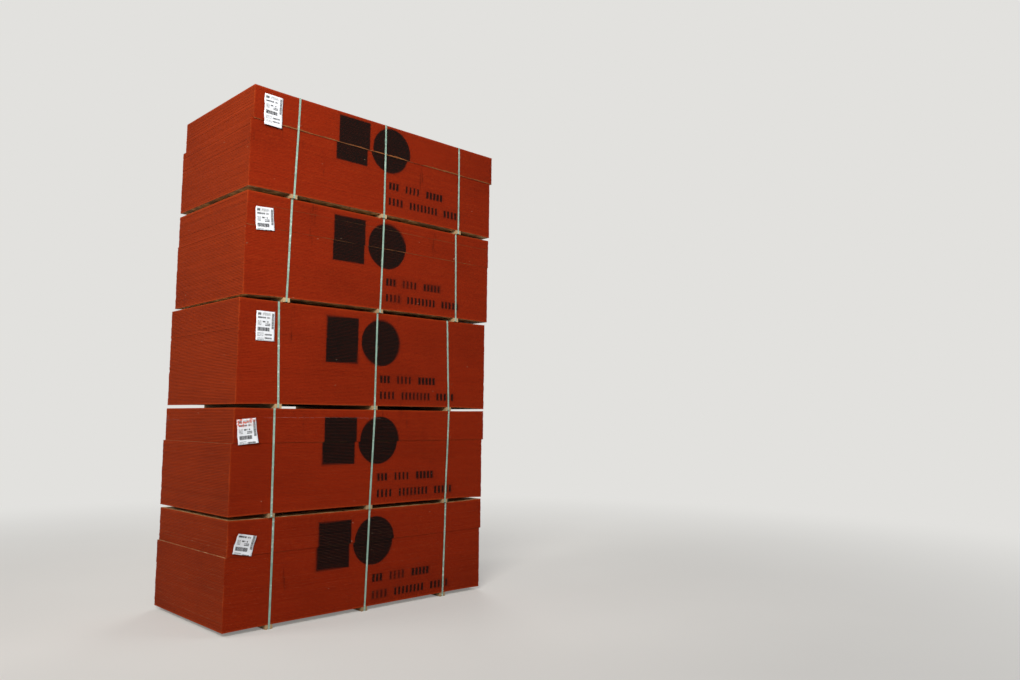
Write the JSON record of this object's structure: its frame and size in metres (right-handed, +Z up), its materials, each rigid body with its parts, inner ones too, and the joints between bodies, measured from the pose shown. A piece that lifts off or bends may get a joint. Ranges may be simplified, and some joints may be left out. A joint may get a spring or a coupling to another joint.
{
  "type": "stack of osb panels",
  "caption": "Tall stack of strapped bundles of oriented strand board with red sealed edges, each bundle on grooved wood runners with fork gaps between them.",
  "frame": {"origin": "on the floor, at the middle of the footprint's bounding box", "axes": "+X along the long side of the sheets, +Y along their short side away from the tagged face, +Z up"},
  "size_m": [2.5024, 1.2778, 4.0325],
  "materials": {
    "board": "matte sealed edge",
    "runner_wood": "sawn",
    "strap_band": "semi-gloss",
    "tag_paper": "matte"
  },
  "bodies": {
    "root": {"bundle_1_runner_1": "runner_wood", "bundle_1_runner_2": "runner_wood", "bundle_1_runner_3": "runner_wood", "bundle_1_sheets": "board", "bundle_1_strap_1": "strap_band", "bundle_1_strap_2": "strap_band", "bundle_1_strap_3": "strap_band", "bundle_1_tag": "tag_paper", "bundle_2_runner_1": "runner_wood", "bundle_2_runner_2": "runner_wood", "bundle_2_runner_3": "runner_wood", "bundle_2_sheets": "board", "bundle_2_strap_1": "strap_band", "bundle_2_strap_2": "strap_band", "bundle_2_strap_3": "strap_band", "bundle_2_tag": "tag_paper", "bundle_3_runner_1": "runner_wood", "bundle_3_runner_2": "runner_wood", "bundle_3_runner_3": "runner_wood", "bundle_3_sheets": "board", "bundle_3_strap_1": "strap_band", "bundle_3_strap_2": "strap_band", "bundle_3_strap_3": "strap_band", "bundle_3_tag": "tag_paper", "bundle_4_runner_1": "runner_wood", "bundle_4_runner_2": "runner_wood", "bundle_4_runner_3": "runner_wood", "bundle_4_sheets": "board", "bundle_4_strap_1": "strap_band", "bundle_4_strap_2": "strap_band", "bundle_4_strap_3": "strap_band", "bundle_4_tag": "tag_paper", "bundle_5_runner_1": "runner_wood", "bundle_5_runner_2": "runner_wood", "bundle_5_runner_3": "runner_wood", "bundle_5_sheets": "board", "bundle_5_strap_1": "strap_band", "bundle_5_strap_2": "strap_band", "bundle_5_strap_3": "strap_band", "bundle_5_tag": "tag_paper"}
  },
  "joints": []
}
